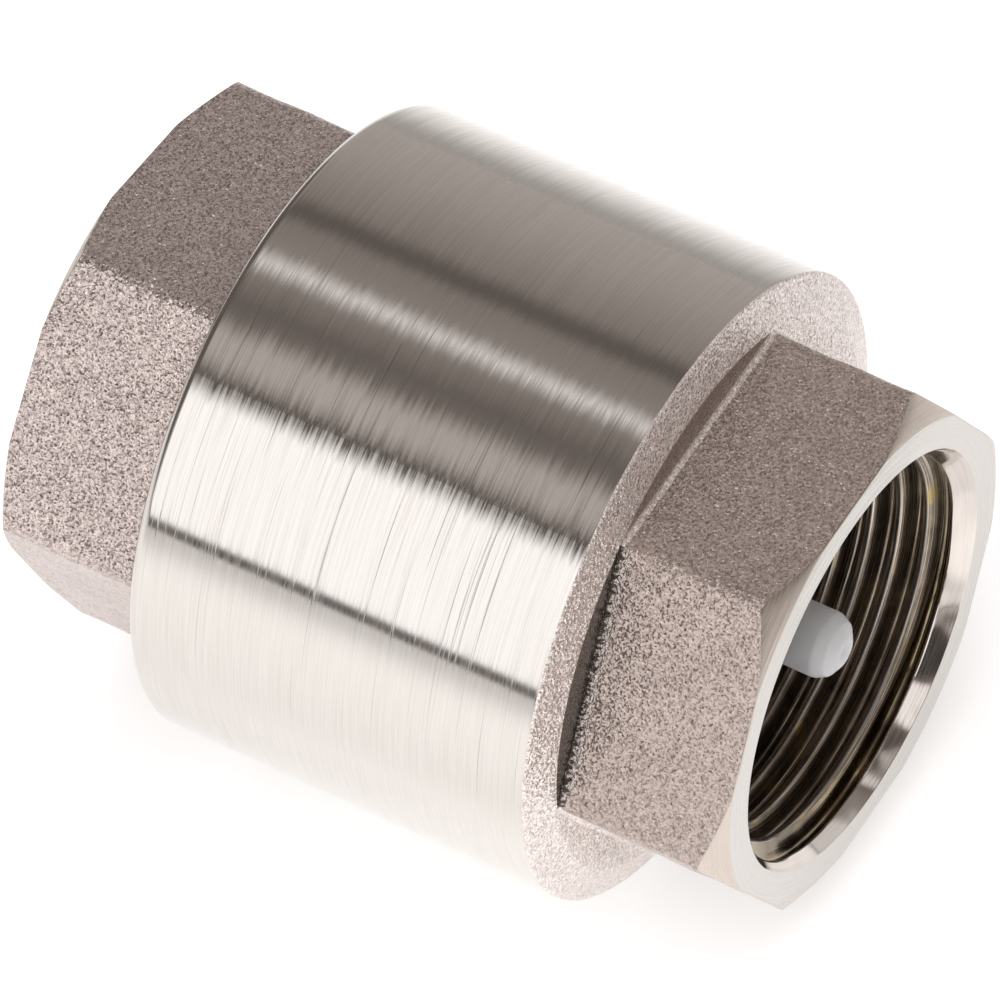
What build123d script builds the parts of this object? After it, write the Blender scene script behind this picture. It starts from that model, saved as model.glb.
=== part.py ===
from build123d import *
import os
from math import radians, tan

# In-line spring check valve with two G 1 female ports, in millimetres.
# The flow axis is +X, from the inlet end at -X to the outlet end at +X, and +Z is up.
# The origin is on the flow axis at the middle of the valve's length.

os.makedirs("parts", exist_ok=True)

# ---- driving dimensions -------------------------------------------------------------
barrel_radius = 25.0
barrel_length = 34.0
barrel_far_rounding = 1.0
barrel_near_break = 0.15
shoulder_rise = 1.0
shoulder_radius = 22.0

hex_across_flats = 38.0
hex_length = 14.0
hex_corner_rounding = 1.2
hex_root_fillet = 0.2
hex_chamfer_angle = 30.0
hex_chamfer_crown = 0.1
end_face_radius = 19.4
connector_clocking = -8.5  # degrees, where the inlet hexagon stops when it is screwed up tight

port_radius = 30.291 / 2  # minor radius of the G 1 thread
port_mouth_radius = 16.8
port_mouth_depth = 2.4
port_length = 14.0

outlet_throat_radius = 14.0
chamber_radius = 20.0
guide_shoulder_x = 13.5
joint_thread_radius = 22.2
joint_mouth_break = 0.4
joint_seal_thickness = 1.0
joint_seal_clearance = 0.1
spigot_length = 9.0

seat_bore_radius = 12.5
seat_lip_width = 1.2
seat_lip_height = 1.0

poppet_lift = 6.5
stop_gap = 0.05
seat_seal_thickness = 2.0
seat_seal_radius = 15.8
poppet_disc_radius = 16.5
poppet_disc_thickness = 2.4
poppet_boss_radius = 9.0
poppet_collar_radius = 4.0
poppet_collar_length = 3.0
stem_radius = 2.6
stem_tip_x = 29.4
stem_nose_length = 1.5
stem_nose_radius = 2.15
stem_end_length = 0.6
stem_end_radius = 1.2
stud_radius = 3.0
stud_head_radius = 3.6
stud_head_length = 1.4
retainer_radius = 11.6
retainer_thickness = 1.6

stem_clearance = 0.05
guide_ring_width = 3.0
guide_ring_clearance = 0.1
guide_ring_thickness = 2.5
guide_rib_count = 4
guide_rib_width = 2.2
guide_hub_radius = 4.4
guide_hub_outlet_x = 20.0

spring_wire_radius = 0.45
spring_mean_radius = 5.6
spring_turns = 6.0

# ---- places along the flow axis, worked out from the above ---------------------------
barrel_near_x = barrel_length / 2
barrel_far_x = -barrel_length / 2
outlet_end_x = barrel_near_x + hex_length
inlet_end_x = barrel_far_x - hex_length
port_inner_x = outlet_end_x - port_length
shoulder_x = barrel_near_x + shoulder_rise
spigot_end_x = barrel_far_x + spigot_length
joint_step_x = spigot_end_x + joint_seal_thickness
seat_x = spigot_end_x + seat_lip_height
disc_front_x = seat_x + seat_seal_thickness
disc_back_x = disc_front_x + poppet_disc_thickness
collar_end_x = disc_back_x + poppet_collar_length
guide_hub_inlet_x = collar_end_x + poppet_lift + stop_gap
guide_ring_x = guide_shoulder_x - guide_ring_thickness
retainer_front_x = seat_x - retainer_thickness


def hexagon(clocking):
    """Hexagon outline with rounded corners, flats up and down when the clocking is 0."""
    with BuildSketch() as outline:
        RegularPolygon(hex_across_flats / 2, 6, major_radius=False, rotation=clocking)
        fillet(outline.vertices(), hex_corner_rounding)
    return outline.sketch


def end_envelope(end_x, inward):
    """Half profile that trims a hexagon's outer end to a round face with a crowned chamfer."""
    reach = barrel_radius
    slope = (reach - end_face_radius) * tan(radians(hex_chamfer_angle))
    with BuildLine() as edge:
        Line((end_x, 0), (end_x, end_face_radius))
        SagittaArc(
            (end_x, end_face_radius),
            (end_x + inward * slope, reach),
            -inward * hex_chamfer_crown,
        )
        Polyline((end_x + inward * slope, reach), (0, reach), (0, 0), (end_x, 0))
    return edge


# ---- valve body: outlet hexagon, barrel and spring chamber, one brass forging ---------
with BuildPart() as valve_body:
    with BuildSketch(Plane.YZ.offset(shoulder_x)):
        add(hexagon(0))
    extrude(amount=outlet_end_x - shoulder_x)
    with BuildSketch(Plane.XZ) as outlet_trim:
        with BuildLine():
            add(end_envelope(outlet_end_x, -1).line)
        make_face()
    revolve(axis=Axis.X, mode=Mode.INTERSECT)

    with BuildSketch(Plane.XZ) as barrel:
        with BuildLine():
            Polyline(
                (barrel_far_x, 0),
                (barrel_far_x, barrel_radius),
                (barrel_near_x - barrel_near_break, barrel_radius),
                (barrel_near_x, barrel_radius - barrel_near_break),
                (shoulder_x, shoulder_radius),
                (shoulder_x, 0),
                close=True,
            )
        make_face()
    revolve(axis=Axis.X)

    rims = valve_body.edges().filter_by(GeomType.CIRCLE)
    rims = rims.filter_by(lambda rim: abs(rim.radius - barrel_radius) < 0.01).sort_by(Axis.X)
    fillet(rims.first, barrel_far_rounding)

    roots = valve_body.edges().filter_by_position(Axis.X, shoulder_x, shoulder_x)
    roots = roots.filter_by(lambda edge: edge.bounding_box().max.Z < shoulder_radius - 0.1)
    fillet(roots, hex_root_fillet)

    with BuildSketch(Plane.XZ) as body_bore:
        with BuildLine():
            Polyline(
                (outlet_end_x, 0),
                (outlet_end_x, port_mouth_radius),
                (outlet_end_x - port_mouth_depth, port_radius),
                (port_inner_x, port_radius),
                (port_inner_x, outlet_throat_radius),
                (guide_shoulder_x, outlet_throat_radius),
                (guide_shoulder_x, chamber_radius),
                (joint_step_x, chamber_radius),
                (joint_step_x, joint_thread_radius),
                (barrel_far_x + joint_mouth_break, joint_thread_radius),
                (barrel_far_x, joint_thread_radius + joint_mouth_break),
                (barrel_far_x, 0),
                close=True,
            )
        make_face()
    revolve(axis=Axis.X, mode=Mode.SUBTRACT)
valve_body.part.label = "valve_body"
export_step(valve_body.part, "parts/valve_body.step")


# ---- end connector: inlet hexagon with the screwed spigot that carries the seat -------
with BuildPart() as end_connector:
    with BuildSketch(Plane.YZ.offset(inlet_end_x)):
        add(hexagon(connector_clocking))
    extrude(amount=hex_length)
    with BuildSketch(Plane.XZ) as inlet_trim:
        with BuildLine():
            add(end_envelope(inlet_end_x, 1).line)
        make_face()
    revolve(axis=Axis.X, mode=Mode.INTERSECT)

    with BuildSketch(Plane.XZ) as spigot:
        with BuildLine():
            Polyline(
                (barrel_far_x, 0),
                (barrel_far_x, joint_thread_radius - joint_mouth_break),
                (barrel_far_x + joint_mouth_break, joint_thread_radius),
                (spigot_end_x, joint_thread_radius),
                (spigot_end_x, seat_bore_radius + seat_lip_width),
                (seat_x, seat_bore_radius + seat_lip_width),
                (seat_x, 0),
                close=True,
            )
        make_face()
    revolve(axis=Axis.X)

    with BuildSketch(Plane.XZ) as connector_bore:
        with BuildLine():
            Polyline(
                (inlet_end_x, 0),
                (inlet_end_x, port_mouth_radius),
                (inlet_end_x + port_mouth_depth, port_radius),
                (inlet_end_x + port_length, port_radius),
                (inlet_end_x + port_length, seat_bore_radius),
                (seat_x, seat_bore_radius),
                (seat_x, 0),
                close=True,
            )
        make_face()
    revolve(axis=Axis.X, mode=Mode.SUBTRACT)
end_connector.part.label = "end_connector"
export_step(end_connector.part, "parts/end_connector.step")


# ---- joint seal: flat ring clamped between the spigot's end and the step in the barrel -
with BuildPart() as joint_seal:
    with BuildSketch(Plane.YZ.offset(spigot_end_x)):
        Circle(joint_thread_radius - joint_seal_clearance)
        Circle(chamber_radius, mode=Mode.SUBTRACT)
    extrude(amount=joint_seal_thickness)
joint_seal.part.label = "joint_seal"
export_step(joint_seal.part, "parts/joint_seal.step")


# ---- poppet: moulded disc, stop collar and long guide stem ----------------------------
with BuildPart() as poppet:
    with BuildSketch(Plane.XZ) as poppet_profile:
        with BuildLine():
            Polyline(
                (retainer_front_x - stud_head_length, 0),
                (retainer_front_x - stud_head_length, stud_radius - 0.6),
                (retainer_front_x - 0.4, stud_head_radius),
                (retainer_front_x, stud_head_radius),
                (retainer_front_x, stud_radius),
                (seat_x, stud_radius),
                (seat_x, poppet_boss_radius),
                (disc_front_x, poppet_boss_radius),
                (disc_front_x, poppet_disc_radius),
                (disc_back_x, poppet_disc_radius),
                (disc_back_x, poppet_collar_radius),
                (collar_end_x, poppet_collar_radius),
                (collar_end_x, stem_radius),
                (stem_tip_x - stem_nose_length, stem_radius),
                (stem_tip_x - stem_end_length, stem_nose_radius),
                (stem_tip_x, stem_end_radius),
                (stem_tip_x, 0),
                close=True,
            )
        make_face()
    revolve(axis=Axis.X)
    disc_rims = poppet.edges().filter_by(GeomType.CIRCLE)
    disc_rims = disc_rims.filter_by(lambda rim: abs(rim.radius - poppet_disc_radius) < 0.01)
    fillet(disc_rims, 0.5)
poppet.part.label = "poppet"
export_step(poppet.part, "parts/poppet.step")


# ---- seat seal: flat rubber ring on the poppet's inlet face ---------------------------
with BuildPart() as seat_seal:
    with BuildSketch(Plane.YZ.offset(seat_x)):
        Circle(seat_seal_radius)
        Circle(poppet_boss_radius, mode=Mode.SUBTRACT)
    extrude(amount=seat_seal_thickness)
seat_seal.part.label = "seat_seal"
export_step(seat_seal.part, "parts/seat_seal.step")


# ---- seal retainer: plate snapped over the poppet's stud ------------------------------
with BuildPart() as seal_retainer:
    with BuildSketch(Plane.YZ.offset(retainer_front_x)):
        Circle(retainer_radius)
        Circle(stud_radius, mode=Mode.SUBTRACT)
    extrude(amount=retainer_thickness)
    front_rim = seal_retainer.edges().filter_by(GeomType.CIRCLE).group_by(Axis.X)[0]
    chamfer(front_rim.sort_by(SortBy.RADIUS).last, 0.5)
seal_retainer.part.label = "seal_retainer"
export_step(seal_retainer.part, "parts/seal_retainer.step")


# ---- stem guide: hub on ribs inside a ring that rests on the chamber's shoulder -------
guide_ring_outer = chamber_radius - guide_ring_clearance
guide_ring_inner = guide_ring_outer - guide_ring_width

with BuildPart() as stem_guide:
    with BuildSketch(Plane.YZ.offset(guide_ring_x)):
        Circle(guide_ring_outer)
        Circle(guide_ring_inner, mode=Mode.SUBTRACT)
        with PolarLocations((guide_ring_inner + guide_hub_radius) / 2, guide_rib_count):
            Rectangle(guide_ring_inner, guide_rib_width)
    extrude(amount=guide_ring_thickness)
    with BuildSketch(Plane.YZ.offset(guide_hub_inlet_x)):
        Circle(guide_hub_radius)
    extrude(amount=guide_hub_outlet_x - guide_hub_inlet_x)
    with BuildSketch(Plane.YZ.offset(guide_hub_inlet_x)):
        Circle(stem_radius + stem_clearance)
    extrude(amount=guide_hub_outlet_x - guide_hub_inlet_x, mode=Mode.SUBTRACT)
stem_guide.part.label = "stem_guide"
export_step(stem_guide.part, "parts/stem_guide.step")


# ---- return spring: round wire coil between the poppet's disc and the guide's ribs ----
spring_length = guide_ring_x - disc_back_x
coil_height = spring_length - 2 * spring_wire_radius

with BuildPart() as return_spring:
    with BuildLine():
        coil = Helix(
            coil_height / spring_turns,
            coil_height,
            spring_mean_radius,
            center=(disc_back_x + spring_wire_radius, 0, 0),
            direction=(1, 0, 0),
        )
    with BuildSketch(Plane(coil @ 0, z_dir=coil % 0)):
        Circle(spring_wire_radius)
    sweep(path=coil, is_frenet=True)
return_spring.part.label = "return_spring"
export_step(return_spring.part, "parts/return_spring.step")
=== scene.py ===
from math import atan, cos, pi, radians, sin, tan

import bpy
import numpy as np
from mathutils import Matrix, Vector


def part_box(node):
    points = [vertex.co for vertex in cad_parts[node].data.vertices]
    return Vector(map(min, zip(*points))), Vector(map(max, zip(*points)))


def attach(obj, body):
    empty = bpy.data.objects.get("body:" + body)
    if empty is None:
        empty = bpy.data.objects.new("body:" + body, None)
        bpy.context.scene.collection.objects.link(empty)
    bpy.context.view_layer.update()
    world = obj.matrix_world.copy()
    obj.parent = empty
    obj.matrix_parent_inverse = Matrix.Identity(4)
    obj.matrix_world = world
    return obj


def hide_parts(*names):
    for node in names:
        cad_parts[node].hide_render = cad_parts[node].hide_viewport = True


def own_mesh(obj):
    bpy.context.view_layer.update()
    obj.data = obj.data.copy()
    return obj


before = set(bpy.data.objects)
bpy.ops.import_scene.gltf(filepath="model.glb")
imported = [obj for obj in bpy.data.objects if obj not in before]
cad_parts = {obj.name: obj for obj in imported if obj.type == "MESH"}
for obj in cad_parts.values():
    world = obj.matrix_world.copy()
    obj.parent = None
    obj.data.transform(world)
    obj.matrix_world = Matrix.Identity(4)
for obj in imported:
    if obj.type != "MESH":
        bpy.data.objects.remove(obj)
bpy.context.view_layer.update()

MM = 0.001

# ---- sizes of the valve, in millimetres, with the overall ones taken from the frame ------
body_low, body_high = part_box("valve_body")
connector_low, connector_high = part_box("end_connector")
poppet_low, poppet_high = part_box("poppet")
spring_low, spring_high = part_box("return_spring")

outlet_end_x = body_high.x / MM
inlet_end_x = connector_low.x / MM
barrel_far_x = body_low.x / MM
seat_x = connector_high.x / MM
barrel_radius = body_high.z / MM
barrel_near_x = 17.0
far_rounding = 1.0
near_break = 0.15
shoulder_x = 18.0
shoulder_radius = 22.0
shoulder_swell = 0.02

flat_distance = 19.0
corner_rounding = 1.2
root_fillet = 0.4
face_radius = 19.4
chamfer_angle = radians(30)
chamfer_crown = 0.09
edge_break = 0.12
skin_inset = 0.04
skin_swell = 0.05
inlet_clocking = radians(-8.5)

port_crest_radius = 30.291 / 2
port_root_radius = 33.249 / 2
thread_pitch = 25.4 / 11
thread_runout = 0.8 * thread_pitch
mouth_radius = 16.8
mouth_depth = 2.4
mouth_slope = (mouth_radius - port_crest_radius) / mouth_depth
port_length = 14.0
throat_radius = 14.0
chamber_radius = 20.0
guide_shoulder_x = 13.5
joint_radius = 22.2
joint_break = 0.4
joint_step_x = -7.0
joint_seal_clearance = 0.1
seat_bore_radius = 12.5
seat_lip_radius = 13.7
seat_lip_height = 1.0

stem_tip_x = poppet_high.x / MM
stem_radius = 2.6
stem_nose_length = 1.5
stem_nose_radius = 2.15
stem_end_length = 0.6
stem_end_radius = 1.2
disc_radius = poppet_high.z / MM
disc_front_x = seat_x + 2.0
disc_back_x = spring_low.x / MM
collar_radius = 4.0
collar_foot = 0.5
collar_end_x = disc_back_x + 3.0
boss_radius = 9.0
stud_radius = 3.0
stud_head_radius = 3.6
stud_tip_radius = 2.4
stud_end_x = poppet_low.x / MM
retainer_front_x = seat_x - 1.6
retainer_radius = 11.6
retainer_break = 0.5
groove_depth = 0.35
groove_slope = 0.3
groove_outer_radius = 6.2
groove_inner_radius = 4.3
seal_radius = 15.8
seal_dent = 0.06
spring_radius = 5.6
wire_radius = 0.45
spring_turns = 6

axis_gap = 0.02
clearance = 0.02

# ---- meshes made of rings around the flow axis -------------------------------------------
# Finishes of the rings; one of them is a dark patch of painted shade where two flats meet the shoulder.
ZONES = (
    "bore", "thread", "mouth", "face", "chamfer", "blasted",
    "root", "segment", "painted_shade", "shoulder", "turned",
)
PLAIN_COLUMNS = 384
CORNER_COLUMNS = 16
CORNER_REACH = radians(2.6)
THREAD_STEPS = 16
CURVE_SHARES = (0.0, 0.25, 0.5, 0.75, 1.0)
LONGEST_CURVE = 0.4  # of the shorter line beside a softened corner


def add_object(name, data):
    """Object in the scene with the given mesh, camera or light."""
    made = bpy.data.objects.new(name, data)
    bpy.context.scene.collection.objects.link(made)
    return made


def column_angles(clocking):
    """Angles around the axis, with more of them where the hexagon turns its corners."""
    plain = np.arange(PLAIN_COLUMNS) * 2 * pi / PLAIN_COLUMNS
    near = np.linspace(-CORNER_REACH, CORNER_REACH, CORNER_COLUMNS)
    corners = np.concatenate([clocking + k * pi / 3 + near for k in range(6)]) % (2 * pi)
    return np.unique(np.round(np.concatenate([plain, corners]), 5))


def hexagon_radius(angle, clocking):
    """Distance from the axis to the rounded hexagon, with corners at the clocking + k * 60 degrees."""
    from_corner = np.abs((angle - clocking + pi / 6) % (pi / 3) - pi / 6)
    on_flat = flat_distance / np.cos(pi / 6 - from_corner)
    arc_centre = (flat_distance - corner_rounding) / cos(pi / 6)
    inside = np.maximum(corner_rounding**2 - (arc_centre * np.sin(from_corner)) ** 2, 0)
    on_arc = arc_centre * np.cos(from_corner) + np.sqrt(inside)
    tangent = pi / 6 - atan((flat_distance - corner_rounding) * tan(pi / 6) / flat_distance)
    return np.where(from_corner < tangent, on_arc, on_flat)


class Outline:
    """A closed line in the plane of the axis, one copy for each angle, made of stations (x, radius)."""

    def __init__(self, angles):
        self.angles = angles
        self.stations, self.soft, self.zone = [], [], []

    def to(self, x, r, zone, soft=0.0):
        """Adds a station. Its zone is the finish of the stretch that ends there, soft rounds it."""
        station = [np.broadcast_to(np.asarray(value, float), self.angles.shape) for value in (x, r)]
        self.stations.append(np.stack(station))
        self.soft.append(soft)
        self.zone.append(zone)

    def curve_end(self, i, other):
        """Where the curve of station i's softened corner meets the line to another station."""
        here = self.stations[i]
        way = self.stations[other] - here
        length = np.maximum(np.hypot(*way), 1e-9)
        return here + way / length * np.minimum(self.soft[i], LONGEST_CURVE * length)

    def rings(self):
        """The stations as (station, zone) rings, each softened corner turned into a short curve."""
        made, count = [], len(self.stations)
        for i, here in enumerate(self.stations):
            if not self.soft[i]:
                made.append((here, self.zone[i]))
                continue
            following = (i + 1) % count
            start, end = self.curve_end(i, i - 1), self.curve_end(i, following)
            for share in CURVE_SHARES:
                point = (1 - share) ** 2 * start + 2 * share * (1 - share) * here + share**2 * end
                made.append((point, self.zone[i if share < 0.75 else following]))
        return made


def ring_mesh(name, outline, zones=ZONES):
    """Mesh of the outline's rings, joined all round and closed from the last ring to the first."""
    rings = outline.rings()
    columns, count = len(outline.angles), len(rings)
    xs = np.array([station[0] for station, zone in rings])
    rs = np.array([station[1] for station, zone in rings])
    spots = np.stack([xs, rs * np.cos(outline.angles), rs * np.sin(outline.angles)], -1) * MM
    first = np.arange(count)[:, None] * columns + np.arange(columns)
    following = np.roll(first, -1, axis=0)
    quads = np.stack(
        [first, np.roll(first, -1, axis=1), np.roll(following, -1, axis=1), following], -1
    )
    mesh = bpy.data.meshes.new(name)
    mesh.from_pydata(spots.reshape(-1, 3).tolist(), [], quads.reshape(-1, 4).tolist())
    slots = [zones.index(rings[(i + 1) % count][1]) for i in range(count)]
    mesh.polygons.foreach_set("material_index", np.repeat(slots, columns).astype(np.int32))
    mesh.polygons.foreach_set("use_smooth", np.ones(len(mesh.polygons), bool))
    mesh.update()
    piece = add_object(name, mesh)
    shading = piece.modifiers.new("even_shading", "WEIGHTED_NORMAL")
    shading.keep_sharp = True
    shading.weight = 100
    return piece


def waviness(angles, x, seed, size):
    """Slow uneven swell of a forged skin, a few hundredths of a millimetre."""
    dice = np.random.default_rng(seed)
    waves, calming = 14, 3.7
    total = np.zeros(np.broadcast(angles, x).shape)
    for _ in range(waves):
        around, along = dice.integers(5, 40), dice.uniform(0.2, 1.6)
        total = total + np.sin(around * angles + along * x + dice.uniform(0, 2 * pi)) / calming
    return size * total


def thread_radius(x, angles, end_x, inward):
    """Radius of a port's wall: a right-hand thread with a countersink, run out at its inner end."""
    flank_steepness = 1.15
    turn = (inward * (x - end_x) / thread_pitch + inward * angles / (2 * pi)) % 1.0
    wave = np.clip(flank_steepness * (4 * np.abs(turn - 0.5) - 1), -1, 1)
    wave = np.sin(wave * pi / 2)
    depth = abs(x - end_x)
    full = np.clip((port_length - depth) / thread_runout, 0, 1)
    root = port_crest_radius + (port_root_radius - port_crest_radius) * full
    wall = (root + port_crest_radius) / 2 + (root - port_crest_radius) / 2 * wave
    return np.maximum(wall, mouth_radius - mouth_slope * depth)


def port(outline, end_x, inward):
    """Threaded wall of a port, from its inner end to its mouth."""
    rows = int(port_length / thread_pitch * THREAD_STEPS)
    for row in range(1, rows):
        x = end_x + inward * port_length * (1 - row / rows)
        zone = "mouth" if abs(x - end_x) < mouth_depth - 0.05 else "thread"
        outline.to(x, thread_radius(x, outline.angles, end_x, inward), zone)
    outline.to(end_x, mouth_radius, "mouth", 0.06)


def hexagon_end(outline, end_x, root_x, clocking, seed):
    """End face, its chamfer and the hexagon's flats, as far as the place where the root starts."""
    angles, inward = outline.angles, 1 if root_x > end_x else -1
    flats = hexagon_radius(angles, clocking)
    rim = np.minimum(face_radius, flats - edge_break)
    cut = np.maximum((flats - face_radius) * tan(chamfer_angle), 0.6 * edge_break)
    outline.to(end_x, rim, "face", 0.08)
    for share in (0.35, 0.7):
        crown = chamfer_crown * sin(share * pi) * np.clip(cut, 0, 1)
        x = end_x + inward * (cut * share - crown / 2)
        outline.to(x, rim + (flats - rim) * share + crown, "chamfer")
    outline.to(end_x + inward * cut, flats, "chamfer", 0.1)
    for share in np.linspace(0.1, 0.96, 10):
        x = end_x + inward * cut + share * (root_x - end_x - inward * cut)
        swell = waviness(angles, x, seed, skin_swell) * sin(share * pi)
        outline.to(x, flats - skin_inset + swell, "blasted")
    return flats


def make_body():
    """Barrel with the outlet hexagon: one forging, turned on the barrel and blasted elsewhere."""
    outline = Outline(column_angles(0))
    port_inner_x = outlet_end_x - port_length
    outline.to(barrel_far_x, joint_radius + joint_break, "bore", 0.05)
    outline.to(barrel_far_x + joint_break, joint_radius, "bore", 0.05)
    outline.to(joint_step_x, joint_radius, "bore", 0.1)
    outline.to(joint_step_x, chamber_radius, "bore", 0.15)
    outline.to(guide_shoulder_x, chamber_radius, "bore", 0.3)
    outline.to(guide_shoulder_x, throat_radius, "bore", 0.15)
    outline.to(port_inner_x, throat_radius, "bore", 0.15)
    outline.to(port_inner_x, port_crest_radius, "bore")
    port(outline, outlet_end_x, -1)
    flats = hexagon_end(outline, outlet_end_x, shoulder_x + root_fillet, clocking=0, seed=3)
    fillet = np.minimum(root_fillet, shoulder_radius - 0.03 - flats)
    for step in np.linspace(0, pi / 2, 6):
        outline.to(shoulder_x + fillet * (1 - sin(step)), flats + fillet * (1 - cos(step)), "root")
    outline.to(shoulder_x, shoulder_radius, "segment", 0.06)
    shoulder_end_radius = barrel_radius - near_break
    for share in (0.3, 0.6, 0.85):
        r = shoulder_radius + share * (shoulder_end_radius - shoulder_radius)
        swell = waviness(outline.angles, r, 5, shoulder_swell) - shoulder_swell
        outline.to(shoulder_x + share * (barrel_near_x - shoulder_x) + swell, r, "shoulder")
    outline.to(barrel_near_x, shoulder_end_radius, "shoulder", 0.08)
    outline.to(barrel_near_x - near_break, barrel_radius, "shoulder", 0.08)
    for share in (0.25, 0.5, 0.75):
        x = barrel_near_x + share * (barrel_far_x - barrel_near_x)
        outline.to(x, barrel_radius, "turned")
    for step in np.linspace(0, pi / 2, 7):
        x = barrel_far_x + far_rounding * (1 - sin(step))
        outline.to(x, barrel_radius - far_rounding * (1 - cos(step)), "turned")
    return ring_mesh("valve_body_forging", outline)


def finish_shoulder(body):
    """Blasts the foot of the hexagon, except beside three flats, where painted shade darkens the segment
    and, beside two of them, the root against the shoulder.
    """
    # By zone and flat, with the flats counted in sixths of a turn from +Y.
    # Painted shade: the segment beside three flats and the root beside two of them get dark finishes.
    kept = {
        ("root", 2): "root", ("root", 4): "root",
        ("segment", 1): "segment", ("segment", 2): "painted_shade", ("segment", 4): "painted_shade",
    }
    for face in body.data.polygons:
        zone = ZONES[face.material_index]
        if zone in ("root", "segment"):
            flat = int(np.degrees(np.arctan2(face.center.z, face.center.y)) % 360 // 60)
            usual = "blasted" if face.center.x > (shoulder_x + root_fillet) * MM else "shoulder"
            face.material_index = ZONES.index(kept.get((zone, flat), usual))


def make_connector():
    """Inlet hexagon with the spigot that screws into the barrel and carries the seat."""
    outline = Outline(column_angles(inlet_clocking))
    port_inner_x = inlet_end_x + port_length
    outline.to(seat_x, seat_bore_radius, "bore", 0.2)
    outline.to(port_inner_x, seat_bore_radius, "bore", 0.2)
    outline.to(port_inner_x, port_crest_radius, "bore")
    port(outline, inlet_end_x, 1)
    flats = hexagon_end(outline, inlet_end_x, barrel_far_x, inlet_clocking, seed=8)
    outline.to(barrel_far_x, flats, "blasted", 0.1)
    outline.to(barrel_far_x, joint_radius - joint_break, "bore", 0.05)
    outline.to(barrel_far_x + joint_break, joint_radius, "bore", 0.05)
    outline.to(seat_x - seat_lip_height, joint_radius, "bore", 0.1)
    outline.to(seat_x - seat_lip_height, seat_lip_radius, "bore", 0.1)
    outline.to(seat_x, seat_lip_radius, "bore", 0.1)
    return ring_mesh("end_connector_forging", outline)


def revolved(name, stations, columns=96):
    """Moulded or punched round piece: (x, radius, softness) stations round the axis."""
    outline = Outline(np.arange(columns) * 2 * pi / columns)
    for x, r, soft in stations:
        outline.to(x, r, "skin", soft)
    return ring_mesh(name, outline, ("skin",))


def make_poppet():
    """Stud, boss, disc, stop collar and long stem in one moulding."""
    return revolved("poppet_moulding", (
        (stud_end_x, axis_gap, 0), (stud_end_x, stud_tip_radius, 0.2),
        (retainer_front_x - 0.4, stud_head_radius, 0.15), (retainer_front_x, stud_head_radius, 0.1),
        (retainer_front_x, stud_radius, 0.05), (seat_x, stud_radius, 0.05),
        (seat_x, boss_radius, 0.1), (disc_front_x, boss_radius, 0.1),
        (disc_front_x, disc_radius, 0.5), (disc_back_x, disc_radius, 0.5),
        (disc_back_x, collar_radius + collar_foot, 0.1), (disc_back_x + collar_foot, collar_radius, 0.2),
        (collar_end_x, collar_radius, 0.3), (collar_end_x, stem_radius, 0.15),
        (stem_tip_x - stem_nose_length, stem_radius, 0.2),
        (stem_tip_x - stem_end_length, stem_nose_radius, 0.12),
        (stem_tip_x, stem_end_radius, 0.15), (stem_tip_x, axis_gap, 0),
    ))


def make_retainer():
    """Plate that snaps onto the stud and holds the rubber ring, with a groove round the stud."""
    groove_x = retainer_front_x + groove_depth
    return revolved("retainer_plate", (
        (retainer_front_x, stud_radius + clearance, 0.1), (seat_x, stud_radius + clearance, 0),
        (seat_x, retainer_radius, 0.1), (retainer_front_x + retainer_break, retainer_radius, 0.15),
        (retainer_front_x, retainer_radius - retainer_break, 0.15),
        (retainer_front_x, groove_outer_radius, 0.15),
        (groove_x, groove_outer_radius - groove_slope, 0.15),
        (groove_x, groove_inner_radius + groove_slope, 0.15),
        (retainer_front_x, groove_inner_radius, 0.15),
    ))


def make_seat_seal():
    """Rubber ring on the disc, with the dent that the seat's lip has pressed into it."""
    dent_x = seat_x + seal_dent
    return revolved("seat_seal_ring", (
        (seat_x, boss_radius + clearance, 0.15), (disc_front_x, boss_radius + clearance, 0.15),
        (disc_front_x, seal_radius, 0.3), (seat_x, seal_radius, 0.3),
        (seat_x, seat_lip_radius + 0.1, 0.05), (dent_x, seat_lip_radius - 0.2, 0.05),
        (dent_x, seat_bore_radius + 0.2, 0.05), (seat_x, seat_bore_radius - 0.1, 0.05),
    ))


def make_joint_seal():
    """Flat ring that seals the screwed joint."""
    front_x, outer_radius = seat_x - seat_lip_height, joint_radius - joint_seal_clearance
    return revolved("joint_seal_ring", (
        (front_x, chamber_radius, 0.2), (joint_step_x, chamber_radius, 0.2),
        (joint_step_x, outer_radius, 0.2), (front_x, outer_radius, 0.2),
    ))


def make_spring(start_x, end_x):
    """Round wire spring with a closed turn at each end, its wire cut square."""
    steps_per_turn, sides = 56, 14
    turns = np.linspace(0, spring_turns + 2, int((spring_turns + 2) * steps_per_turn) + 1)
    closed_pitch = 2 * wire_radius * 1.02
    length = end_x - start_x - 2 * wire_radius
    pitch = (length - 2 * closed_pitch) / spring_turns
    closed_x = start_x + wire_radius + closed_pitch
    run = [start_x + wire_radius, closed_x, closed_x + pitch * spring_turns, end_x - wire_radius]
    x = np.interp(turns, [0, 1, spring_turns + 1, spring_turns + 2], run)
    blend = steps_per_turn // 6
    window = 2 * blend + 1
    x = np.convolve(np.pad(x, blend, mode="edge"), np.ones(window), "valid") / window
    spots = []
    for turn, centre in zip(turns, x):
        angle = 2 * pi * turn
        for side in range(sides):
            tilt = 2 * pi * side / sides
            along, r = centre + wire_radius * sin(tilt), spring_radius + wire_radius * cos(tilt)
            spots.append((along * MM, r * cos(angle) * MM, r * sin(angle) * MM))
    rows = len(turns)
    faces = [
        (row * sides + side, row * sides + (side + 1) % sides,
         (row + 1) * sides + (side + 1) % sides, (row + 1) * sides + side)
        for row in range(rows - 1) for side in range(sides)
    ]
    faces.append(tuple(range(sides))[::-1])
    faces.append(tuple((rows - 1) * sides + side for side in range(sides)))
    mesh = bpy.data.meshes.new("return_spring_coil")
    mesh.from_pydata(spots, [], faces)
    mesh.polygons.foreach_set("use_smooth", [len(face) == 4 for face in faces])
    mesh.update()
    return add_object("return_spring_coil", mesh)


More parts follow.
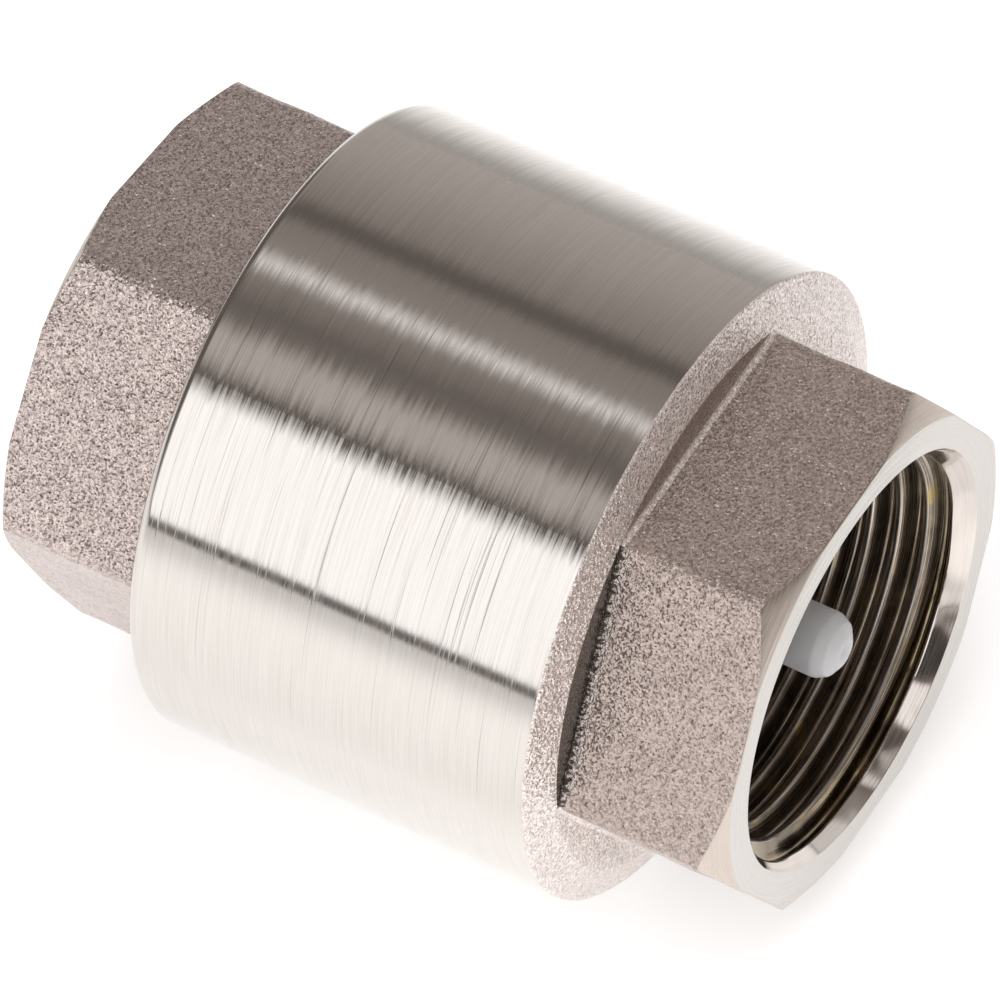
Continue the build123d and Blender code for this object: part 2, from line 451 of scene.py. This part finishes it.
# ---- materials ----------------------------------------------------------------------------
class Tree:
    """Short way to write a node tree."""

    def __init__(self, tree):
        self.tree = tree

    def node(self, kind, **settings):
        made = self.tree.nodes.new(kind)
        for key, value in settings.items():
            setattr(made, key, value)
        return made

    def feed(self, socket, value):
        """Links an output to a socket, or sets a plain value on it."""
        if isinstance(value, bpy.types.NodeSocket):
            self.tree.links.new(value, socket)
        elif value is not None:
            socket.default_value = value

    def math(self, operation, a, b):
        made = self.node("ShaderNodeMath", operation=operation)
        self.feed(made.inputs[0], a)
        self.feed(made.inputs[1], b)
        return made.outputs[0]

    def vector(self, operation, a, b=None, scale=None):
        made = self.node("ShaderNodeVectorMath", operation=operation)
        self.feed(made.inputs[0], a)
        self.feed(made.inputs[1], b)
        if scale is not None:
            self.feed(made.inputs["Scale"], scale)
        return made.outputs["Value" if operation in ("LENGTH", "DOT_PRODUCT") else "Vector"]

    def parts(self, vector):
        """The X, Y and Z of a vector."""
        made = self.node("ShaderNodeSeparateXYZ")
        self.feed(made.inputs[0], vector)
        return tuple(made.outputs)

    def span(self, value, low, high, to_low=0.0, to_high=1.0):
        """Maps low to high onto to_low to to_high, and stays there beyond them."""
        made = self.node("ShaderNodeMapRange")
        for socket, setting in zip(list(made.inputs)[:5], (value, low, high, to_low, to_high)):
            self.feed(socket, setting)
        return made.outputs["Result"]

    def spread(self, noise, to_low, to_high):
        """Maps the range that holds most of a noise."""
        return self.span(noise, 0.3, 0.7, to_low, to_high)

    def mix(self, share, a, b):
        """Colour a, replaced by colour b as far as the share says."""
        made = self.node("ShaderNodeMix", data_type="RGBA")
        self.feed(made.inputs["Factor"], share)
        sockets = [socket for socket in made.inputs if socket.type == "RGBA"]
        for socket, colour in zip(sockets, (a, b)):
            self.feed(socket, (*colour, 1) if isinstance(colour, tuple) else colour)
        return next(socket for socket in made.outputs if socket.type == "RGBA")

    def ramp(self, value, stops):
        """Colour ramp through (position, colour) stops."""
        made = self.node("ShaderNodeValToRGB")
        self.feed(made.inputs["Fac"], value)
        elements = made.color_ramp.elements
        while len(elements) < len(stops):
            elements.new(0.5)
        for element, (position, colour) in zip(elements, stops):
            element.position = position
            element.color = (*colour, 1)
        return made.outputs["Color"]

    def noise(self, place, scale, detail=2.0, roughness=0.5):
        made = self.node("ShaderNodeTexNoise")
        self.feed(made.inputs["Vector"], place)
        self.feed(made.inputs["Scale"], scale)
        self.feed(made.inputs["Detail"], detail)
        self.feed(made.inputs["Roughness"], roughness)
        return made.outputs["Fac"]


class Surface(Tree):
    """A material's node tree round its shader."""

    def __init__(self, name, base, roughness, metallic=1.0, **values):
        self.material = bpy.data.materials.new(name)
        self.material.use_nodes = True
        super().__init__(self.material.node_tree)
        self.shader = self.tree.nodes["Principled BSDF"]
        self.use(Base_Color=(*base, 1), Roughness=roughness, Metallic=metallic, **values)

    def use(self, **values):
        """Sets or links the shader's sockets, whose spaces are written as _."""
        for name, value in values.items():
            self.feed(self.shader.inputs[name.replace("_", " ")], value)

    def place(self):
        return self.node("ShaderNodeTexCoord").outputs["Object"]

    def off_axis(self, place):
        """Distance of a place from the flow axis."""
        return self.vector("LENGTH", self.vector("MULTIPLY", place, (0, 1, 1)))

    def lines(self, fine, around, lean=1.0, detail=2.0, roughness=0.6):
        """Noise in lines round the axis, spaced by the radius plus lean times the place along it."""
        place = self.place()
        x, y, z = self.parts(place)
        across = self.math("ADD", self.math("MULTIPLY", x, lean), self.off_axis(place))
        joined = self.node("ShaderNodeCombineXYZ")
        self.feed(joined.inputs["X"], self.math("MULTIPLY", across, fine))
        self.feed(joined.inputs["Y"], self.math("MULTIPLY", y, around))
        self.feed(joined.inputs["Z"], self.math("MULTIPLY", z, around))
        return self.noise(joined.outputs[0], 1.0, detail, roughness)

    def bump(self, height, distance, normal=None):
        made = self.node("ShaderNodeBump")
        self.feed(made.inputs["Strength"], 1.0)
        self.feed(made.inputs["Distance"], distance)
        self.feed(made.inputs["Height"], height)
        self.feed(made.inputs["Normal"], normal)
        return made.outputs["Normal"]

    def tilted(self, normal, toward, amount):
        """A normal that leans towards a direction by an amount."""
        leaning = self.vector("ADD", normal, self.vector("SCALE", toward, scale=amount))
        return self.vector("NORMALIZE", leaning)

    def rocked(self, amount):
        """The surface's normal, leaning round the flow axis by an amount."""
        normal = self.node("ShaderNodeNewGeometry").outputs["Normal"]
        return self.tilted(normal, self.vector("CROSS_PRODUCT", (1, 0, 0), normal), amount)


def darker(colour, share):
    return tuple(share * part for part in colour)


NICKEL = (0.72, 0.685, 0.65)
DULL_BROWN = (0.15, 0.12, 0.09)

# Heights in metres between which the turned metal's uneven sheen sets in above its calm lower side,
# those between which it calms down along the top, and the places across where the scores grow faint.
calm_z, uneven_z = 0.0135, 0.018
crown_z, top_z = 0.0238, 0.0244
scored_y, faint_y = -0.006, 0.002


def turned_nickel(name, base, roughness, wander, groove, streaks=0.03, lean=1.0):
    """Turned and plated metal: its grooves blur the reflections along the axis and fray their edges."""
    nodes = Surface(name, base, roughness, Anisotropic=0.8, Anisotropic_Rotation=0.25)
    tangent = nodes.node("ShaderNodeTangent", direction_type="RADIAL", axis="X")
    fine = nodes.lines(8000, 120, lean)
    broad = nodes.lines(3300, 60, lean, roughness=0.5)
    long = nodes.lines(7000, 40, lean, detail=1.0)
    _, y, z = nodes.parts(nodes.place())
    worked = nodes.math("MULTIPLY", nodes.span(z, calm_z, uneven_z, 0.12, 1.0),
                        nodes.span(z, crown_z, top_z, 1.0, 0.55))
    sway = nodes.math("ADD", nodes.span(fine, 0.25, 0.75, -wander, wander),
                      nodes.span(broad, 0.25, 0.75, -0.9 * wander, 0.9 * wander))
    score = nodes.math("MULTIPLY", nodes.span(long, 0.24, 0.34, 1.0, 0.0),
                       nodes.span(y, scored_y, faint_y, 1.0, 0.25))
    spread = nodes.math("MULTIPLY", nodes.span(fine, 0.32, 0.68, -0.55 * roughness, 0.9 * roughness),
                        nodes.span(z, calm_z, uneven_z, 0.35, 1.0))
    streak = tuple(part * (1 - share * streaks) for part, share in zip(base, (2.0, 2.6, 2.8)))
    streaked = nodes.mix(nodes.span(fine, 0.4, 0.65), base, streak)
    nodes.use(
        Tangent=tangent.outputs[0],
        Base_Color=nodes.mix(score, streaked, darker(base, 0.72)),
        Roughness=nodes.math("ADD", spread, roughness),
        Normal=nodes.bump(nodes.math("SUBTRACT", 1.0, score), groove,
                          nodes.rocked(nodes.math("MULTIPLY", sway, worked))),
    )
    return nodes


def mouth_nickel(name, base, chatter):
    """Countersink with a cutter's chatter marks, crossed by the dull brown start of the thread."""
    nodes = turned_nickel(name, base, 0.13, wander=0.02, groove=0.00002, lean=0.0)
    tone = nodes.shader.inputs["Base Color"].links[0].from_socket
    place = nodes.place()
    inward = nodes.vector("ABSOLUTE", place)
    depth = nodes.math("SUBTRACT", outlet_end_x * MM, nodes.parts(inward)[0])
    cone = nodes.math("SUBTRACT", mouth_radius * MM, nodes.math("MULTIPLY", depth, mouth_slope))
    groove = nodes.span(nodes.math("SUBTRACT", nodes.off_axis(place), cone), 0.00002, 0.00012)
    waves = nodes.noise(place, 260, 1.0)
    stain = nodes.mix(nodes.span(waves, 0.35, 0.7), DULL_BROWN, (0.36, 0.29, 0.19))
    rocked = nodes.rocked(nodes.spread(waves, -chatter, chatter))
    nodes.use(
        Base_Color=nodes.mix(groove, tone, stain),
        Normal=nodes.bump(nodes.lines(8000, 120, lean=0.0), 0.00001, rocked),
    )
    return nodes


def blasted_nickel(name, base, tilt, dark, roughness=0.25, metallic=0.9):
    """Shot-blasted forging: packed grit facets, each tilted its own way, the deepest of them duller and
    darkened with painted shade.
    """
    nodes = Surface(name, base, roughness, metallic)
    place = nodes.place()
    grit = nodes.node("ShaderNodeTexVoronoi")
    nodes.feed(grit.inputs["Vector"], place)
    nodes.feed(grit.inputs["Scale"], 6200)
    facet = grit.outputs["Color"]
    lumps = nodes.noise(place, 3800, 1.0)
    swell = nodes.noise(place, 900)
    blotch = nodes.noise(place, 170)
    height = nodes.math("ADD", nodes.math("MULTIPLY", swell, 0.6), nodes.math("MULTIPLY", lumps, 0.8))
    lean = nodes.vector("SUBTRACT", facet, (0.5, 0.5, 0.5))
    worn = nodes.mix(nodes.span(blotch, 0.35, 0.65, 0.0, 0.2), base, darker(base, 0.8))
    shade = nodes.span(nodes.vector("DOT_PRODUCT", facet, (1, 0, 0)), 0.0, 1.0, 0.80, 1.20)
    # Painted shade: the low spots of the lumps are darkened towards the dark share of the base colour.
    painted_pit_shade = nodes.span(lumps, 0.30, 0.42, 0.60, 0.0)
    nodes.use(
        Base_Color=nodes.mix(painted_pit_shade, nodes.vector("SCALE", worn, scale=shade), darker(base, dark)),
        Roughness=nodes.spread(lumps, 1.2 * roughness, 0.8 * roughness),
        Normal=nodes.tilted(nodes.bump(height, 0.0003 * tilt), lean, tilt),
    )
    return nodes


def root_painted_shade_nickel(name, base):
    """Foot of a flat, with a ragged dark line of painted shade in the crease against the shoulder."""
    nodes = Surface(name, base, 0.3, 0.85)
    place = nodes.place()
    x, _, _ = nodes.parts(place)
    grit = nodes.noise(place, 4200, 1.0)
    teeth = nodes.noise(nodes.vector("MULTIPLY", place, (1500, 4200, 4200)), 1.0, 1.0)
    height = nodes.span(x, shoulder_x * MM, (shoulder_x + 1.0) * MM)
    # Painted shade: the colour turns nearly black in a ragged band along the crease at the shoulder.
    edge = nodes.math("SUBTRACT", height, nodes.spread(teeth, 0.0, 0.6))
    nodes.use(
        Base_Color=nodes.mix(nodes.span(edge, -0.11, 0.10, 1.0, 0.0), base, (0.075, 0.062, 0.052)),
        Roughness=nodes.spread(grit, 0.35, 0.2),
        Normal=nodes.bump(grit, 0.0003),
    )
    return nodes


def threaded_nickel(name):
    """Thread with thin bright crests, cutter streaks on dull flanks, and brass where plating is thin."""
    nodes = Surface(name, NICKEL, 0.24)
    place = nodes.place()
    crest = nodes.span(nodes.off_axis(place), 0.01515, 0.01523, 0.7, 0.0)
    fine = nodes.lines(9000, 110)
    streak = nodes.lines(8600, 45)
    stain = nodes.noise(place, 420, 3.0, 0.6)
    root = nodes.mix(nodes.span(stain, 0.35, 0.65), DULL_BROWN, (0.33, 0.265, 0.20))
    scored = nodes.mix(nodes.span(streak, 0.54, 0.64), root, (0.74, 0.65, 0.55))
    brass = nodes.mix(nodes.span(stain, 0.60, 0.68, 0.0, 0.6), scored, (0.50, 0.38, 0.12))
    nodes.use(
        Base_Color=nodes.mix(crest, brass, darker(NICKEL, 0.7)),
        Roughness=nodes.spread(fine, 0.24, 0.42),
        Normal=nodes.bump(fine, 0.00002),
    )
    return nodes


def moulded_plastic(name, base, roughness=0.35, depth=0.002):
    """Injection-moulded plastic, slightly cloudy, which light enters to a depth in metres."""
    nodes = Surface(name, base, roughness, 0.0, Subsurface_Weight=0.6, Subsurface_Scale=depth,
                    Subsurface_Radius=(1.0, 1.0, 1.0))
    place = nodes.place()
    cloud = nodes.noise(place, 300)
    skin = nodes.noise(place, 2500)
    nodes.use(
        Base_Color=nodes.mix(nodes.spread(cloud, 0.0, 0.25), base, darker(base, 0.86)),
        Roughness=nodes.spread(skin, roughness * 0.85, roughness * 1.2),
        Normal=nodes.bump(skin, 0.00001),
    )
    return nodes


def rubber(name):
    """Black moulded rubber with a dusty bloom."""
    nodes = Surface(name, (0.02, 0.02, 0.021), 0.55, 0.0)
    place = nodes.place()
    bloom = nodes.span(nodes.noise(place, 400, 3.0), 0.45, 0.75, 0.0, 0.5)
    nodes.use(
        Base_Color=nodes.mix(bloom, (0.018, 0.018, 0.019), (0.06, 0.06, 0.062)),
        Normal=nodes.bump(nodes.noise(place, 3000), 0.00002),
    )
    return nodes


def spring_wire(name):
    """Drawn stainless wire."""
    nodes = Surface(name, (0.60, 0.59, 0.58), 0.28)
    drawn = nodes.noise(nodes.vector("MULTIPLY", nodes.place(), (4000, 300, 300)), 1.0)
    nodes.use(Roughness=nodes.spread(drawn, 0.2, 0.38), Normal=nodes.bump(drawn, 0.000008))
    return nodes


# ---- pieces -------------------------------------------------------------------------------
# The surface of each zone, except the blasted one, which differs between the two forgings.
finish = {
    "turned": turned_nickel("turned_nickel", NICKEL, 0.12, 0.017, 0.000012),
    "face": turned_nickel("faced_nickel", (0.61, 0.585, 0.555), 0.22, 0.004, 0.000005, 0.01, 0.0),
    "chamfer": turned_nickel("chamfered_nickel", (0.575, 0.505, 0.45), 0.26, 0.006, 0.00001, 0.01, 0.0),
    "mouth": mouth_nickel("countersunk_nickel", (0.69, 0.64, 0.60), 0.14),
    "thread": threaded_nickel("threaded_nickel"),
    "bore": turned_nickel("bored_nickel", (0.60, 0.54, 0.48), 0.3, 0.02, 0.00002),
    # The next three finishes are painted shade: dark crescents and a dark line where flats meet the
    # shoulder.
    "segment": blasted_nickel("segment_painted_shade_nickel", (0.42, 0.35, 0.31), 0.15, 0.8),
    "painted_shade": blasted_nickel("painted_shade_nickel", (0.17, 0.145, 0.13), 0.2, 0.8),
    "root": root_painted_shade_nickel("root_painted_shade_nickel", (0.60, 0.525, 0.485)),
    "shoulder": blasted_nickel("blasted_nickel_shoulder", (0.87, 0.785, 0.75), 0.6, 0.6, 0.3, 0.82),
}
body_skin = blasted_nickel("blasted_nickel", (0.515, 0.425, 0.385), 0.76, 0.52, 0.30, 0.80)
connector_skin = blasted_nickel("blasted_nickel_inlet", (0.635, 0.535, 0.505), 0.76, 0.54, 0.24, 0.90)

body = make_body()
finish_shoulder(body)
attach(body, "housing")
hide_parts("valve_body")

connector = make_connector()
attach(connector, "housing")
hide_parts("end_connector")
for zone in ZONES:
    body.data.materials.append(finish.get(zone, body_skin).material)
    connector.data.materials.append(finish.get(zone, connector_skin).material)

poppet = make_poppet()
retainer = make_retainer()
seal = make_seat_seal()
gasket = make_joint_seal()
spring = make_spring(disc_back_x, spring_high.x / MM)
ACETAL = (0.60, 0.60, 0.61)
for piece, node, rides_on, slot, surface in (
    (poppet, "poppet", "poppet_assembly", "poppet_plastic",
     moulded_plastic("poppet_acetal", ACETAL, 0.42, depth=0.004)),
    (retainer, "seal_retainer", "poppet_assembly", "retainer_plastic",
     moulded_plastic("retainer_acetal", ACETAL, 0.42)),
    (seal, "seat_seal", "poppet_assembly", "seat_rubber", rubber("seat_rubber")),
    (gasket, "joint_seal", "housing", "black_rubber", rubber("joint_rubber")),
    (spring, "return_spring", "housing", "spring_steel", spring_wire("spring_wire")),
):
    piece.data.materials.append(surface.material)
    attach(piece, rides_on)
    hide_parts(node)
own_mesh(spring)

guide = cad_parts["stem_guide"]
guide.data.materials.clear()
guide.data.materials.append(moulded_plastic("guide_acetal", (0.05, 0.05, 0.055)).material)
guide_edges = guide.modifiers.new("moulded_edges", "BEVEL")
guide_edges.width = 0.00018
guide_edges.segments = 3
guide_edges.limit_method = "ANGLE"
guide_edges.angle_limit = radians(40)
guide_edges.harden_normals = True

# ---- camera -------------------------------------------------------------------------------
camera_azimuth = radians(35.4)
camera_elevation = radians(53.1)
camera_roll = radians(-5.7)
camera_distance = 0.907

optics = bpy.data.cameras.new("camera")
optics.sensor_width = 36
optics.lens = 442
optics.clip_start = 0.05
optics.clip_end = 20
camera = add_object("camera", optics)
back = Vector((
    sin(camera_azimuth) * cos(camera_elevation),
    -cos(camera_azimuth) * cos(camera_elevation),
    sin(camera_elevation),
))
aim = back.to_track_quat("Z", "Y").to_matrix() @ Matrix.Rotation(camera_roll, 3, "Z")
camera.matrix_world = Matrix.Translation(back * camera_distance) @ aim.to_4x4()
bpy.context.scene.camera = camera

# ---- floor and soft studio light ----------------------------------------------------------
floor_reach = 4.0
floor_z = -barrel_radius * MM
corners = [(x * floor_reach, y * floor_reach, floor_z) for x, y in ((-1, -1), (1, -1), (1, 1), (-1, 1))]
floor_mesh = bpy.data.meshes.new("floor")
floor_mesh.from_pydata(corners, [], [(0, 1, 2, 3)])
floor = add_object("floor", floor_mesh)

# The floor glows most just below the valve and fades behind it. Each stop is a place along AWAY, the
# direction away from the camera, in metres, and the glow there.
AWAY = (0.35, 0.9, 0.0)
FLOOR_GLOW = (
    (-0.14, 0.39), (-0.09, 0.335), (-0.068, 0.30), (-0.047, 0.235), (-0.040, 0.245), (-0.031, 0.31),
    (-0.024, 0.42), (-0.015, 0.49), (0.015, 0.49), (0.04, 0.42), (0.064, 0.33), (0.084, 0.235),
    (0.123, 0.13), (0.20, 0.05), (0.26, 0.06),
)
nearest, farthest = FLOOR_GLOW[0][0], FLOOR_GLOW[-1][0]
paper = Surface("paper", (0.76, 0.76, 0.76), 0.8, 0.0, Emission_Color=(1, 1, 1, 1))
sheet_grain = paper.noise(paper.place(), 900)
paper.use(
    Base_Color=paper.mix(
        paper.spread(sheet_grain, 0.0, 0.2), (0.77, 0.77, 0.77), (0.745, 0.745, 0.745),
    ),
    Emission_Strength=paper.ramp(
        paper.span(paper.vector("DOT_PRODUCT", paper.place(), AWAY), nearest, farthest),
        [((at - nearest) / (farthest - nearest), (glow,) * 3) for at, glow in FLOOR_GLOW],
    ),
)
floor.data.materials.append(paper.material)


def warm(glow):
    """Colour of a light or wall by its radiance: the dimmer it is, the warmer."""
    dim = max(0.0, 1 - glow)
    return tuple(glow * (1 - dim * (1 - part)) for part in (1.0, 0.85, 0.77))


# The studio is one long softbox on the -Y side, a thin strip overhead and warm grey walls.
# Each stop is (degrees round the flow axis, from the +Y horizon over the top, radiance).
STUDIO = (
    (0, 0.50), (23, 0.43), (48, 0.285), (54, 0.135), (57.5, 0.135), (62, 0.275), (73, 0.31),
    (78.5, 0.88), (84, 0.28), (89, 0.24), (95, 0.165), (101, 0.20), (108, 0.54), (115, 0.54),
    (120, 0.36), (122, 0.13), (124.5, 0.13), (131, 1.4), (167, 1.38), (175.5, 1.38), (177, 0.10),
    (180, 0.10),
)
# The two end walls, and soft patches beyond the outlet, which its countersink mirrors. Each has its
# direction, the cosines of the angles where it starts and is full, and its colour.
PATCHES = (
    ((-1, 0, 0), 0.60, 0.72, (0.13, 0.112, 0.10)),
    ((1, 0, 0), 0.60, 0.72, (0.27, 0.235, 0.215)),
    ((0.735, -0.565, 0.370), 0.955, 0.982, warm(0.05)),
    ((0.746, -0.169, 0.644), 0.980, 0.994, warm(1.30)),
    ((0.707, 0.105, 0.700), 0.990, 0.9975, warm(0.10)),
    ((0.671, 0.309, 0.672), 0.988, 0.997, warm(0.90)),
    ((0.430, 0.865, 0.260), 0.945, 0.98, warm(0.80)),
)
world = bpy.data.worlds.new("studio")
world.use_nodes = True
sky = Tree(world.node_tree)
direction = sky.node("ShaderNodeTexCoord").outputs["Generated"]
_, across, up = sky.parts(direction)
half_turns = sky.math("DIVIDE", sky.math("ARCTAN2", up, across), pi)
seen = sky.ramp(half_turns, [(degrees / 180, warm(glow)) for degrees, glow in STUDIO])
for toward, starts, full, colour in PATCHES:
    share = sky.span(sky.vector("DOT_PRODUCT", direction, toward), starts, full)
    seen = sky.mix(share, seen, colour)
sky.feed(world.node_tree.nodes["Background"].inputs["Color"], seen)
bpy.context.scene.world = world

wash_light = bpy.data.lights.new("floor_wash", "AREA")
wash_light.shape = "RECTANGLE"
wash_light.size = 0.30
wash_light.size_y = 0.30
wash_light.energy = 0.8
wash = add_object("floor_wash", wash_light)
wash.location = (0.0, -0.06, 0.25)
wash.visible_glossy = False

bpy.context.scene.view_settings.view_transform = "Standard"
bpy.context.scene.view_settings.look = "None"
